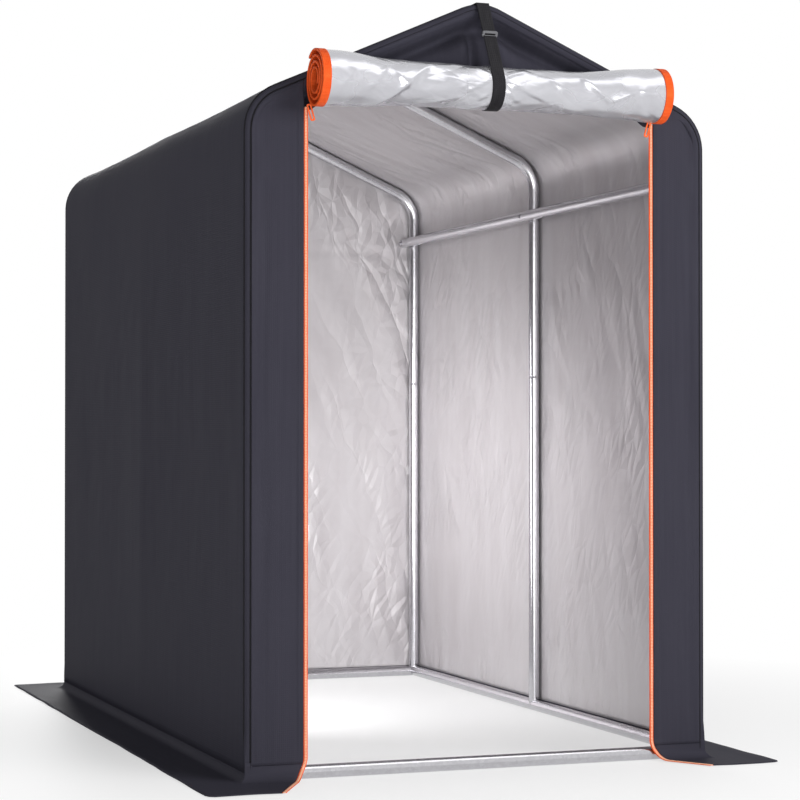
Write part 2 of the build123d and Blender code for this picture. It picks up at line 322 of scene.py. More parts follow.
# %% [markdown]
# ## Trim: orange tape, black webbing and moulded plastic
# The zips and the edging of the door are one woven orange tape, matt and a little fuzzy. The strap is black
# webbing with ribs across it, and the seams are bound in black tape, made near black so that it also paints
# the shade in the grooves beside them. The slider, the pulls and the teeth of the zips are moulded, smooth
# with a fine grain from the tool. The teeth are pale, a painted highlight along the middle of each zip.

# %% Make the trim materials
TAPE_RIB_MM = 2.5
WEBBING_RIB_MM = 3.0
RIB_RELIEF = 0.0008
MOULD_GRAIN_MM = 1.5
MOULD_RELIEF = 0.0003


def woven_tape(name, dark, light, rib_mm, roughness):
    """A narrow woven tape: ribs across it, and a tone that varies from thread to thread."""
    material, tree, surface = new_material(name, roughness=roughness, specular_ior_level=0.15)
    place = cloth_place(tree)
    two_tones(tree, surface, stretched_noise(tree, place, (4 * rib_mm, 20 * rib_mm)), dark, light)
    emboss(tree, surface, weave(tree, place, rib_mm), 0.45, RIB_RELIEF)
    return material


def moulded_plastic(name, dark, light, roughness):
    """Moulded plastic: an even colour with a fine grain."""
    material, tree, surface = new_material(name, roughness=roughness)
    place = add_node(tree, "ShaderNodeTexCoord").outputs["Object"]
    grain = stretched_noise(tree, place, (MOULD_GRAIN_MM,) * 3)
    two_tones(tree, surface, grain, dark, light)
    emboss(tree, surface, grain, 0.25, MOULD_RELIEF)
    return material


orange_tape = woven_tape("orange_polyester_tape", "#de4f19", "#ee622a", TAPE_RIB_MM, 0.6)
black_webbing = woven_tape("black_polypropylene_webbing", "#19181b", "#232225", WEBBING_RIB_MM, 0.6)
# The binding's near black is partly its own colour and partly painted shade of the seam grooves.
seam_binding_and_painted_shade = woven_tape("black_seam_binding_and_painted_shade", "#0e0d11", "#161519", TAPE_RIB_MM, 0.65)
orange_plastic = moulded_plastic("moulded_orange_plastic", "#ee5f20", "#f86d2c", 0.4)
# The pale tone of the teeth is a painted highlight along the middle of each zip.
coil_nylon_painted_highlight = moulded_plastic("nylon_coil_painted_pale_highlight", "#f7b48e", "#fcc4a2", 0.35)
grey_plastic = moulded_plastic("moulded_grey_acetal", "#5c5c60", "#707074", 0.38)
print("made the trim materials")

# %% [markdown]
# ## Sheets
# Every cloth piece is a grid of points, one skin thick. A Solidify modifier gives it its thickness and, with
# a second material, its inner face, just as the film is bonded to the cloth. A map in metres goes with each
# sheet, so that threads and creases keep their size and follow the cloth round every bend.


# %% Sheet helpers
def runs(points):
    """The distance along a row of points, from its start."""
    steps = np.linalg.norm(np.diff(points, axis=0), axis=1)
    return np.concatenate([[0.0], np.cumsum(steps)])


def sheet_object(name, grid, materials, thickness=CLOTH, flip=False):
    """A mesh from a grid of points, with its map in metres and its thickness behind its face."""
    rows, columns = grid.shape[:2]
    faces = []
    for i in range(rows - 1):
        for j in range(columns - 1):
            a = i * columns + j
            face = (a, a + columns, a + columns + 1, a + 1)
            faces.append(face[::-1] if flip else face)
    mesh = bpy.data.meshes.new(name)
    mesh.from_pydata(grid.reshape(-1, 3).tolist(), [], faces)
    mesh.polygons.foreach_set("use_smooth", [True] * len(faces))
    down, across = runs(grid[:, columns // 2]), runs(grid[rows // 2])
    places = np.stack(np.meshgrid(across, down), axis=-1).reshape(-1, 2)
    corners = np.zeros(len(mesh.loops), np.int32)
    mesh.loops.foreach_get("vertex_index", corners)
    mesh.uv_layers.new(name="cloth").data.foreach_set("uv", places[corners].ravel())
    for material in materials:
        mesh.materials.append(material)
    piece = placed(name, mesh)
    skin = piece.modifiers.new("thickness", "SOLIDIFY")
    skin.thickness = thickness
    skin.offset = -1
    skin.use_even_offset = True
    skin.material_offset = len(materials) - 1
    return piece


def dress(piece, slot, *nodes):
    """Fixes a piece to the shelter, and hides the solids that it stands for."""
    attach(piece, "root")
    if nodes:
        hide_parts(*nodes)
    print(piece.name, len(piece.data.polygons), "faces")
    return piece


def smooth(low, high, value):
    """A smooth step from 0 to 1 between two values."""
    t = np.clip((np.asarray(value, float) - low) / (high - low), 0, 1)
    return t * t * (3 - 2 * t)


def ripple(u, v, size_u, size_v, seed):
    """Soft folds between -1 and 1, of the given sizes in metres along the two ways of a sheet."""
    u, v = np.broadcast_arrays(u, v)
    pairs = zip((u / size_u).ravel(), (v / size_v).ravel())
    return np.reshape([noise.noise(Vector((a, b, seed))) for a, b in pairs], u.shape)


def crumple(u, v, size, seed):
    """Facets with sharp creases between them, from 0 on a crease to 1 within a facet."""
    u, v = np.broadcast_arrays(u, v)
    bent_u = u + 0.35 * size * ripple(u, v, 2 * size, 2 * size, seed + 7.3)
    bent_v = v + 0.35 * size * ripple(u, v, 2 * size, 2 * size, seed + 3.1)
    values = []
    for a, b in zip((bent_u / size).ravel(), (bent_v / size).ravel()):
        near = noise.voronoi(Vector((a, b, seed)))[0]
        values.append(min(1.0, near[1] - near[0]))
    return np.reshape(values, u.shape)


# %% [markdown]
# ## The line of the arch
# Seen end on, the cover follows the three arches: up a wall, round the eave, up the roof and over the ridge.
# This line is kept as points with outward normals, so that the same line, moved in by any amount, gives the
# walls, the seams and the edges of the end panels.


# %% Lay out the arch line
def arch_line():
    """Points and outward normals of the outer line, from the left foot over the ridge to the right foot."""
    turn = math.pi / 2 - ROOF_PITCH
    rows = [(half_width, wall_foot, 1, 0)]
    for angle in np.linspace(0, turn, 15):
        x = half_width - bend_radius * (1 - math.cos(angle))
        rows.append((x, eave_z + bend_radius * math.sin(angle), math.cos(angle), math.sin(angle)))
    for angle in np.linspace(turn, math.pi / 2, 9):
        z = ridge_top - bend_radius * (1 - math.sin(angle))
        rows.append((bend_radius * math.cos(angle), z, math.cos(angle), math.sin(angle)))
    right = np.array(rows, float)
    left = right[:-1] * (-1, 1, -1, 1)
    return np.vstack([left, right[::-1]])


arch = arch_line()
arch_run = runs(arch[:, :2])
arch_length = arch_run[-1]


def arch_at(run, inset=0.0):
    """Points on the arch line at distances along it, moved in by an inset."""
    x, z, nx, nz = (np.interp(run, arch_run, arch[:, k]) for k in range(4))
    return x - inset * nx, z - inset * nz, nx, nz


def roof_z(x, inset):
    """The height of the arch line over a place across the shelter, moved in by an inset."""
    half = arch[len(arch) // 2 :]
    xs, zs = half[:, 0] - inset * half[:, 2], half[:, 1] - inset * half[:, 3]
    return np.interp(np.abs(x), xs[:-1], zs[:-1])


eave_run = eave_z - wall_foot
print("arch line", round(arch_length, 3), "m long")

# %% [markdown]
# ## Walls and roof in one sheet
# The walls and the roof are one length of cloth, pulled over the arches and turned round the first and the
# last of them, where it is sewn to the end panels. Between the arches it sags a little, and it is creased
# where it is tight. A cloth simulation could sag it, but a taut cover hardly moves, so it is shaped directly.

# %% Make the walls and the roof
STEP = 0.022
TURN_STEPS = 7
LAP = 0.016
FOOT_CORNER = 0.002
WALL_SAG = 0.007
ROOF_SAG = 0.013
COVER_FOLD = 0.0035
COVER_CREASE = 0.0022


def corner_radius(run):
    """The radius of the turn: round on a tube, and sharp at the foot, over the square corner of the rails."""
    from_foot = np.minimum(run, arch_length - run)
    return FOOT_CORNER + (tube_inset - FOOT_CORNER) * smooth(0.02, 0.12, from_foot)


def end_turn(run):
    """Insets and depths of the cloth as it turns round an end arch, from its lap on the end to the side."""
    angles = np.linspace(math.pi / 2, 0, TURN_STEPS)
    radius = corner_radius(run)[:, None]
    lap = np.full_like(radius, tube_inset + LAP)
    insets = np.concatenate([lap, radius * (1 - np.cos(angles))], axis=1)
    return insets, np.concatenate([0 * lap, radius * (1 - np.sin(angles))], axis=1)


cover_run = np.linspace(0, arch_length, int(arch_length / STEP))
insets, depths = end_turn(cover_run)
straight = np.arange(-half_depth + tube_inset + STEP, half_depth - tube_inset - STEP / 2, STEP)
straight = np.broadcast_to(straight, (len(cover_run), len(straight)))
cover_insets = np.concatenate([insets, 0 * straight, insets[:, ::-1]], axis=1)
y_grid = np.concatenate([depths - half_depth, straight, half_depth - depths[:, ::-1]], axis=1)
run_grid = np.broadcast_to(cover_run[:, None], y_grid.shape)
x, z, nx, nz = arch_at(run_grid, cover_insets)
from_side = np.minimum(run_grid, arch_length - run_grid)
on_wall = np.sin(np.pi * np.clip(from_side / eave_run, 0, 1))
roof_share = np.clip((from_side - eave_run) / (arch_length / 2 - eave_run), 0, 1)
on_roof = np.sin(np.pi * roof_share) ** 2
bay = np.abs(np.sin(np.pi * y_grid / (half_depth - tube_inset)))
bay = bay * (np.abs(y_grid) < half_depth - tube_inset)

folds = ripple(run_grid, y_grid, 0.45, 0.9, 1.0) + 0.5 * ripple(run_grid, y_grid, 0.9, 0.22, 2.0)
creases = crumple(run_grid, y_grid, 0.16, 3.0)
slack = np.maximum(on_wall, on_roof)
off_hem = smooth(0.02, 0.15, from_side)
out = -(WALL_SAG * on_wall + ROOF_SAG * on_roof) * bay**0.8
out = out + COVER_FOLD * folds * slack * smooth(0.05, 0.5, bay)
out = out - COVER_CREASE * creases * off_hem * smooth(0.02, 0.3, bay) * (0.3 + 0.7 * slack)
main_cover = np.stack([x + out * nx, y_grid, z + out * nz], axis=-1)

cover = sheet_object("cover_walls_and_roof", main_cover, [charcoal_cloth, silver_film])
dress(cover, "cover_cloth", "left_wall", "right_wall", "roof_left", "roof_right")

# %% [markdown]
# ## The ends of the cover
# Each end is a panel sewn to the main sheet along the arch. Its edge lies on the lap of the main sheet, so it
# stands a cloth's thickness proud. Round the inside of the tube the cloth is pulled back into a valley.

# %% Helpers for the end panels
EDGE_INSET = 0.019
PROUD = 0.0022
VALLEY_INSET = 0.050
VALLEY_WIDTH = 0.016


def panel_grid(columns, low, step):
    """Points across an end panel at x columns, from a height up to the roof, on the plane y = 0."""
    top = roof_z(columns, EDGE_INSET)
    rows = int((ridge_top - np.max(low)) / step)
    shares = np.linspace(0, 1, rows)[:, None]
    z = low + shares * (top - low)[None, :]
    x = np.broadcast_to(columns, z.shape)
    return x, z


def off_foot(z, height):
    """0 at the foot of an end panel, where it runs on into the skirt, 1 from a height above it."""
    return smooth(wall_foot, wall_foot + height, z)


def edge_distance(x, z):
    """How far a point of an end panel lies in from the outer line of the cover."""
    from_wall = half_width - np.abs(x)
    from_roof = (roof_z(x, 0.0) - z) * math.cos(ROOF_PITCH)
    return np.minimum(from_wall, from_roof)


def off_rail_end(x, z):
    """0 where an eave rail's end stands close behind an end panel, 1 away from it."""
    low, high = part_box("right_eave_rail")
    away = np.hypot(np.abs(x) - (low.x + high.x) / 2, z - (low.z + high.z) / 2)
    return smooth(0.025, 0.060, away)


def panel_columns(start, end, step):
    """Places across a panel, closer together where the outline turns down at the eave."""
    bend_start = half_width - bend_radius
    arc = half_width - EDGE_INSET - (bend_radius - EDGE_INSET) * (1 - np.cos(np.linspace(0, 1.15, 12)))
    flat = np.arange(start, min(end, bend_start), step)
    return np.unique(np.concatenate([flat, arc[(arc > start + step / 3) & (arc <= end)], [end]]).round(6))


# %% [markdown]
# ## The rear panel
# The rear is closed. It is cut from two widths of cloth, joined by a level seam under the eaves. It hangs a
# little slack, with drag lines that run off at a slant, and its film is crumpled towards the top.

# %% Make the rear panel
REAR_SEAM_Z = 1.65
REAR_SEAM_HALF = 0.012
REAR_SEAM_STEP = 0.0015
REAR_SAG = 0.006
REAR_DRAG = 0.002
REAR_CREASE = 0.0028
PANEL_STEP = 0.017

right_columns = panel_columns(0.0, half_width - EDGE_INSET, PANEL_STEP)
rear_columns = np.concatenate([-right_columns[:0:-1], right_columns])
x, z = panel_grid(rear_columns, wall_foot, PANEL_STEP)
inside = smooth(0.02, 0.14, edge_distance(x, z)) * off_foot(z, 0.2)
inside = inside * off_rail_end(x, z)
sag = -REAR_SAG * inside * (0.6 + ripple(x, z, 0.5, 0.8, 11.0))
drag = REAR_DRAG * inside * ripple(x + 0.5 * z, z - 0.4 * x, 0.10, 0.5, 12.0)
top_creases = REAR_CREASE * smooth(1.35, 1.9, z) * inside * (0.5 - crumple(x, z, 0.17, 13.0))
seam = REAR_SEAM_STEP * (np.abs(z - REAR_SEAM_Z) < REAR_SEAM_HALF)
rear_y = half_depth + PROUD * off_foot(z, 0.03) + sag + drag + top_creases + seam
rear = sheet_object("cover_rear", np.stack([x, rear_y, z], axis=-1), [charcoal_cloth, silver_film])
dress(rear, "cover_cloth", "rear_wall")

# %% [markdown]
# ## The front panels
# A narrow panel stands each side of the doorway. Its inner edge is folded back into a doubled strip that
# carries the zip, and shows as a fine step beside the orange tape. At the foot the edge swings out, where the
# panel runs on into the flap of the skirt, so the measures of that bend are set here.

# %% Make the narrow front panels
PLACKET = 0.016
PLACKET_STEP = 0.0012
JAMB_STEP = 0.012
JAMB_VALLEY = 0.004
JAMB_FOLD = 0.004
SLACK = 0.0075
SKIRT_LIFT = 0.0025
SKIRT_BEND = 0.025
FLAP_BEND = 0.041
FLARE_START = 0.058
FLARE_RADIUS = 0.0215
FLARE_SLOPE = 0.62
opening = door_half + SLACK
panel_foot = FLAP_BEND + SKIRT_LIFT


def flare(run):
    """How far the doorway's edge has swung out, at a distance down the cloth from where it starts to."""
    return FLARE_SLOPE * (np.hypot(np.maximum(run, 0), FLARE_RADIUS) - FLARE_RADIUS)


for name, side in (("left", -1), ("right", 1)):
    fine = np.array([0.0, 0.004, 0.012, PLACKET - 0.0008, PLACKET + 0.0008])
    rest = panel_columns(opening + PLACKET + 0.008, half_width - EDGE_INSET, JAMB_STEP)
    columns = np.concatenate([opening + fine, rest])
    x, z = panel_grid(columns, panel_foot, JAMB_STEP)
    edge = edge_distance(x, z)
    calm = smooth(0.02, 0.07, edge) * smooth(0.0, 0.05, x - opening)
    valley = JAMB_VALLEY * np.exp(-(((edge - VALLEY_INSET) / VALLEY_WIDTH) ** 2))
    folds = JAMB_FOLD * calm * ripple(x, z, 0.12, 0.7, 21.0 + side)
    flat = off_rail_end(x, z)
    doubled = PLACKET_STEP * (x < opening + PLACKET) * off_foot(z, 0.12)
    y = -half_depth - PROUD - doubled + flat * off_foot(z, 0.15) * (valley + folds)
    swing = flare(FLARE_START - z) * (columns[-1] - x) / (columns[-1] - columns[0])
    grid = np.stack([side * (x + swing), y, z], axis=-1)
    panel = sheet_object(f"cover_front_{name}", grid, [charcoal_cloth, silver_film], flip=side > 0)
    dress(panel, "cover_cloth", f"front_{name}_panel")

# %% [markdown]
# ## The gable
# Over the doorway the front closes up to the ridge. The tied-up door hangs from it, so the cloth is pulled
# back in a deep valley along the rafters and drawn into folds that run up to the strap at the ridge. One
# sharp pinch stands just left of the strap.

# %% Make the gable
GABLE_STEP = 0.0085
GABLE_VALLEY = 0.036
GABLE_VALLEY_INSET = 0.064
GABLE_VALLEY_WIDTH = 0.022
GABLE_RECESS = 0.010
GABLE_SOFT = 0.004
GABLE_LAP = 0.010
GABLE_BEHIND = 0.0012
PINCH = 0.030
PINCH_WIDTH = 0.015
PINCH_LEFT = 0.034
PINCH_UP = 0.2
PINCH_LEAN = 0.15
FAN = 0.009
FAN_FOLDS = 9
CORNER_DROP = 0.042

columns = np.linspace(-door_half - GABLE_LAP, door_half + GABLE_LAP, int(2 * door_half / GABLE_STEP))
hem = door_top - CORNER_DROP * smooth(door_half - 0.07, door_half - 0.01, np.abs(columns))
x, z = panel_grid(columns, hem, GABLE_STEP)
edge = edge_distance(x, z)
valley = GABLE_VALLEY * np.exp(-(((edge - GABLE_VALLEY_INSET) / GABLE_VALLEY_WIDTH) ** 2))
recess = GABLE_RECESS * smooth(0.035, 0.065, edge)
from_pinch = x + PINCH_LEFT + PINCH_LEAN * (z - door_top - PINCH_UP)
pinch = PINCH * np.exp(-((from_pinch / PINCH_WIDTH) ** 2)) * smooth(0.045, 0.10, edge)
angle = np.arctan2(x, ridge_top + 0.02 - z)
from_top = np.hypot(x, ridge_top - z)
fan = FAN * np.cos(FAN_FOLDS * angle + 1.5 * ripple(x, z, 0.3, 0.3, 31.0)) * smooth(0.02, 0.12, from_top)
fan = fan * smooth(0.025, 0.06, edge) * (1 - smooth(0.25, 0.5, from_top))
soft = GABLE_SOFT * ripple(x, z, 0.16, 0.12, 32.0) * smooth(0.03, 0.08, edge)
gable_y = -half_depth - PROUD + GABLE_BEHIND + valley + recess + pinch + fan + soft
gable_grid = np.stack([x, gable_y, z], axis=-1)
gable = sheet_object("cover_gable", gable_grid, [charcoal_cloth, silver_film], flip=True)
dress(gable, "cover_cloth", "front_gable")

# %% [markdown]
# ## Bound seams
# Along the end arches the panels are sewn to the main sheet and bound. From outside this shows as two fine
# black lines that run up the post, round the eave and over the ridge, about a tube's width apart. They are
# black binding and also painted shade, the dark of the grooves at the seam's edges. Up the roof the cloth is
# pulled tighter and the lines get thinner. Each is a thin near-black tube along the line of the arch.

# %% Make the bound seams
PIPING_RADIUS = 0.0022
PIPING_SIDES = 8
OUTER_LINE_TURN = math.radians(24)
RAKE_PIPING_SHARE = 0.4
RAKE_EASE = 0.25
SEAM_POINTS = 260

seam_run = np.linspace(0, arch_length, SEAM_POINTS)
up_rake = np.minimum(seam_run, arch_length - seam_run) - eave_run - (math.pi / 2 - ROOF_PITCH) * bend_radius
piping_radius = PIPING_RADIUS * (1 - (1 - RAKE_PIPING_SHARE) * smooth(0.0, RAKE_EASE, up_rake))


def tube_along(path, radius, sides, across):
    """A ring of points round each point of a path. across is a direction that the path never follows."""
    path = np.asarray(path, float)
    along = np.gradient(path, axis=0)
    along = along / np.linalg.norm(along, axis=1)[:, None]
    first = np.cross(along, across)
    first = first / np.linalg.norm(first, axis=1)[:, None]
    second = np.cross(along, first)
    angles = np.linspace(0, 2 * math.pi, sides + 1)
    ring = np.cos(angles)[None, :, None] * first[:, None] + np.sin(angles)[None, :, None] * second[:, None]
    return path[:, None] + np.broadcast_to(radius, len(path))[:, None, None] * ring


def joined(name, grids, material):
    """One mesh from several grids of points."""
    vertices, faces, places = [], [], []
    for grid in grids:
        rows, columns = grid.shape[:2]
        base = len(vertices)
        vertices += grid.reshape(-1, 3).tolist()
        down, across = runs(grid[:, columns // 2]), runs(grid[rows // 2])
        places += np.stack(np.meshgrid(across, down), axis=-1).reshape(-1, 2).tolist()
        for i in range(rows - 1):
            for j in range(columns - 1):
                a = base + i * columns + j
                faces.append((a, a + 1, a + columns + 1, a + columns))
    mesh = bpy.data.meshes.new(name)
    mesh.from_pydata(vertices, [], faces)
    mesh.polygons.foreach_set("use_smooth", [True] * len(faces))
    layer = mesh.uv_layers.new(name="cloth")
    for loop, uv in zip(mesh.loops, layer.data):
        uv.uv = places[loop.vertex_index]
    mesh.materials.append(material)
    return placed(name, mesh)


def seam_line(inset, depth, end):
    """A line along an end arch, at an inset and a depth from that end."""
    x, z, _, _ = arch_at(seam_run, inset)
    return np.stack([x, np.full_like(x, end * (half_depth - depth)), z], axis=-1)


for name, end in (("front", -1), ("rear", 1)):
    on_turn = tube_inset * (1 - math.cos(OUTER_LINE_TURN)), tube_inset * (1 - math.sin(OUTER_LINE_TURN))
    lines = [seam_line(*on_turn, end), seam_line(EDGE_INSET - PIPING_RADIUS, 0.0, end)]
    grids = [tube_along(line, piping_radius, PIPING_SIDES, (0, 1, 0)) for line in lines]
    # These near-black tubes are binding and painted shade of the grooves beside the seams.
    dress(joined(f"bound_seams_and_painted_shade_{name}", grids, seam_binding_and_painted_shade), "cover_cloth")

# %% [markdown]
# ## The ground skirt
# A strip of the same cloth is sewn to the foot of the walls. It leaves them in a soft bend and lies out on
# the ground, where stones can hold it down. It is one strip from one side of the doorway round to the other.
# It is made as rays from the wall out to its edge, so that the outline can be set apart from the wall's. The
# flaps beside the doorway are wider in the bend, and the left one is pulled further out.

# %% Make the ground skirt
SKIRT_CORNER = 0.022
SKIRT_STEP = 0.02
SKIRT_TUCK = 0.010
TUCK_GAP = 0.0007
SKIRT_WAVE = 0.003
FLAP_RAYS = 14
CORNER_RAYS = 21
LEFT_FLAP_STRETCH = 1.30
LEFT_FLAP_SWING = 0.12


def corner_rays(count):
    """Starts and ends of the skirt's rays round the front right corner, from the front to the side."""
    angles = np.linspace(-math.pi / 2, 0, count)
    centre = np.array([half_width - FOOT_CORNER, -half_depth + FOOT_CORNER])
    starts = centre + FOOT_CORNER * np.stack([np.cos(angles), np.sin(angles)], axis=1)
    out_x, out_y = half_width + skirt_reach, -half_depth - skirt_reach
    bend = np.array([out_x - SKIRT_CORNER, out_y + SKIRT_CORNER])
    arc = bend + SKIRT_CORNER * np.stack([np.cos(angles), np.sin(angles)], axis=1)
    outline = np.vstack([[centre[0], out_y], arc, [out_x, centre[1]]])
    lengths = runs(outline)
    places = np.linspace(0, lengths[-1], count)
    ends = np.stack([np.interp(places, lengths, outline[:, k]) for k in range(2)], axis=1)
    return starts, ends


def half_skirt_rays():
    """Starts and ends of the rays of the right half, from the doorway to the middle of the rear."""
    flap = np.linspace(opening, half_width - FOOT_CORNER, FLAP_RAYS)[:-1]
    starts = [np.stack([flap, np.full_like(flap, -half_depth)], axis=1)]
    ends = [np.stack([flap, np.full_like(flap, -half_depth - skirt_reach)], axis=1)]
    corner_start, corner_end = corner_rays(CORNER_RAYS)
    side = np.arange(-half_depth + FOOT_CORNER + SKIRT_STEP, half_depth - FOOT_CORNER, SKIRT_STEP)
    rear = np.arange(half_width - FOOT_CORNER - SKIRT_STEP, 0, -SKIRT_STEP)
    mirrored = corner_start[::-1] * (1, -1), corner_end[::-1] * (1, -1)
    starts += [corner_start, np.stack([np.full_like(side, half_width), side], axis=1), mirrored[0]]
    ends += [corner_end, np.stack([np.full_like(side, half_width + skirt_reach), side], axis=1), mirrored[1]]
    starts.append(np.stack([rear, np.full_like(rear, half_depth)], axis=1))
    ends.append(np.stack([rear, np.full_like(rear, half_depth + skirt_reach)], axis=1))
    return np.vstack(starts), np.vstack(ends), len(flap)


def foot_bend(x):
    """The radius of the bend at the foot of the front: wide at the doorway, tighter at the corner."""
    return FLAP_BEND + (SKIRT_BEND - FLAP_BEND) * smooth(opening, half_width - FOOT_CORNER, np.abs(x))


def skirt_section(bend, foot):
    """Reaches, heights and runs of the cloth: behind the wall's foot, round the bend, out on the ground."""
    angles = np.linspace(0, math.pi / 2, 11)[1:]
    top = np.array([foot + SKIRT_TUCK, foot])
    flat = np.linspace(bend, skirt_reach, 12)[1:]
    reach = np.concatenate([0 * top, bend * (1 - np.cos(angles)), flat])
    heights = np.concatenate([top, SKIRT_LIFT + bend * (1 - np.sin(angles)), 0 * flat + SKIRT_LIFT])
    return reach, heights, runs(np.stack([reach, heights], axis=1)) - SKIRT_TUCK + FLARE_START - foot


def laid(points):
    """The left flap lies a little further out in front than the right one, and its edge swings out more."""
    out = np.minimum(points[..., 1] + half_depth, 0) * (points[..., 0] < 0)
    by_doorway = 1 - smooth(opening, half_width + skirt_reach, np.abs(points[..., 0]))
    moved = points.copy()
    moved[..., 0] += out * LEFT_FLAP_SWING * by_doorway
    moved[..., 1] += out * (LEFT_FLAP_STRETCH - 1)
    return moved


starts, ends, flap_count = half_skirt_rays()
in_front = starts[:, 1] < -half_depth + FOOT_CORNER / 2
sections = [
    skirt_section(foot_bend(x), panel_foot) if front else skirt_section(SKIRT_BEND, wall_foot)
    for x, front in zip(starts[:, 0], in_front)
]
shares = np.array([reach for reach, _, _ in sections]) / skirt_reach
points = starts[:, None] + shares[..., None] * (ends - starts)[:, None]
for k in range(flap_count):
    swept = opening + flare(sections[k][2])
    points[k, :, 0] = swept + (k / flap_count) * (half_width - FOOT_CORNER - swept)
half = np.concatenate([points, np.array([heights for _, heights, _ in sections])[..., None]], axis=-1)
half[:, :, :2] *= 1 - TUCK_GAP / half_depth
half[in_front, :, 1] -= PROUD
ring = laid(np.concatenate([half, half[::-1] * (-1, 1, 1)]))
lift = 0.5 + ripple(ring[..., 0], ring[..., 1], 0.16, 0.16, 41.0)
by_edge = smooth(0.5, 1.0, np.concatenate([shares, shares[::-1]]))
ring[..., 2] += SKIRT_WAVE * np.clip(lift - 0.25, 0, 1) * by_edge
skirt = sheet_object("ground_skirt", ring, [charcoal_cloth, charcoal_cloth], flip=True)
dress(
    skirt, "cover_cloth", "left_skirt", "right_skirt", "rear_skirt", "front_left_flap", "front_right_flap"
)

# %% [markdown]
# ## The rolled door
# The door is rolled up with its silver face outward and tied at the middle. Its inner turns are tight and the
# outer ones are loose. The strap draws the roll in to a waist, and the stiff film breaks into folds, some of
# which run into the strap. One spiral sheet, squeezed along its length, gives the roll. Noise alone makes
# film look like rumpled cloth, so the main folds are drawn one by one, each sharp along its line.

# %% Shape the roll
ROLL_RADIUS = 0.083
WAIST_RADIUS = 0.067
LOOSE_TURNS = 3.5
LOOSE_PITCH = 0.0165
CORE_TURNS = 5.5
CORE_PITCH = 0.0033
CORE_SHORT = 0.14
FIRST_ANGLE = math.radians(-38)
ROLL_SETTLE = 0.009
BACK_GAP = 0.012
OUTER_POINTS = 140
LOOSE_POINTS = 24
CORE_POINTS = 10

roll_low, roll_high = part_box("door_roll")
strap_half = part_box("door_strap")[1].x
roll_back = roll_high.y
roll_middle_z = (roll_low.z + roll_high.z) / 2 - ROLL_SETTLE


def roll_scale(x):
    """The roll's thickness along its length, as a share of its thickness at the ends."""
    return 1 - (1 - WAIST_RADIUS / ROLL_RADIUS) * (1 - smooth(0.22, 0.50, np.abs(x)))


def roll_spiral():
    """Angles and radii of the spiral, from the loose end at the back, over the top and inward."""
    outer = np.linspace(0, 1, OUTER_POINTS, endpoint=False)
    between = np.linspace(1, LOOSE_TURNS, int(LOOSE_POINTS * (LOOSE_TURNS - 1)), endpoint=False)
    core = np.linspace(LOOSE_TURNS, LOOSE_TURNS + CORE_TURNS, int(CORE_POINTS * CORE_TURNS))
    turns = np.concatenate([outer, between, core])
    loose = np.minimum(turns, LOOSE_TURNS)
    tight = np.maximum(turns - LOOSE_TURNS, 0)
    return FIRST_ANGLE + 2 * math.pi * turns, ROLL_RADIUS - LOOSE_PITCH * loose - CORE_PITCH * tight, turns


# Folds of the film, from left to right: the place along half the door, the degrees round from the top to the
# front at either end, and the height in millimetres. Those beside the strap run into it.
FILM_FOLDS = (
    (-0.92, 122, -0.83, 80, 4.0),
    (-0.86, 60, -0.76, 98, 3.0),
    (-0.74, 118, -0.63, 58, 5.5),
    (-0.70, 172, -0.34, 24, 7.5),
    (-0.59, 60, -0.50, 110, 5.0),
    (-0.42, 152, -0.22, 126, 4.0),
    (-0.30, 70, -0.16, 92, 3.5),
    (-0.19, 108, -0.03, 72, 7.0),
    (-0.13, 36, -0.03, 66, 6.0),
    (-0.12, 130, -0.03, 100, 6.0),
    (-0.19, 176, -0.03, 142, 6.0),
    (0.03, 76, 0.28, 122, 8.0),
    (0.03, 66, 0.19, 38, 6.0),
    (0.03, 94, 0.12, 130, 6.0),
    (0.03, 124, 0.15, 170, 5.0),
    (0.28, 56, 0.40, 100, 4.0),
    (0.36, 140, 0.52, 158, 3.5),
    (0.46, 46, 0.65, 120, 7.5),
    (0.64, 118, 0.80, 84, 5.5),
    (0.80, 84, 0.91, 100, 4.5),
)
STEEP_SIDE = 0.006
SOFT_SIDE = 0.022
CREASE_ROUND = 0.002
FILM_WAVE = 0.004
FILM_CRUMPLE = 0.004
FILM_DRAWN_IN = 0.002


def film_fold(x, around, start, end, height):
    """A fold between two places on the film: sharp along its line, steep below it and soft above it."""
    length = math.dist(start, end)
    along = ((end[0] - start[0]) / length, (end[1] - start[1]) / length)
    down = (around - start[1]) * along[0] - (x - start[0]) * along[1]
    share = ((x - start[0]) * along[0] + (around - start[1]) * along[1]) / length
    away = np.hypot(down, CREASE_ROUND) - CREASE_ROUND
    sharp = np.exp(-away / np.where(down > 0, STEEP_SIDE, SOFT_SIDE))
    return height * sharp * smooth(-0.12, 0.3, share) * (1 - smooth(0.7, 1.12, share))


def roll_creases(x, angle, turns):
    """How far the film stands out from a smooth roll. The back has the folds of the front, turned."""
    around = angle * ROLL_RADIUS
    waves = FILM_WAVE * ripple(x + 0.5 * around, around - 0.3 * x, 0.26, 0.11, 52.0)
    crumpled = FILM_CRUMPLE * (0.33 - crumple(x + 0.6 * around, around - 0.4 * x, 0.15, 51.0))
    folds = 0.0
    for x_start, turn_start, x_end, turn_end, height in FILM_FOLDS:
        for side, half_turn in ((1, 0.0), (-1, math.pi)):
            first = (x_start * door_half, (math.radians(turn_start) + half_turn) * ROLL_RADIUS)
            last = (x_end * door_half, (math.radians(turn_end) + half_turn) * ROLL_RADIUS)
            folds = folds + film_fold(side * x, around, first, last, height / 1000)
    outer = 1 - smooth(0.9, 1.3, turns)
    free = 1 - smooth(door_half - 0.07, door_half - 0.03, np.abs(x))
    tied = smooth(strap_half * 0.9, strap_half * 1.8, np.abs(x))
    return outer * free * tied * (waves + crumpled + folds - FILM_DRAWN_IN)


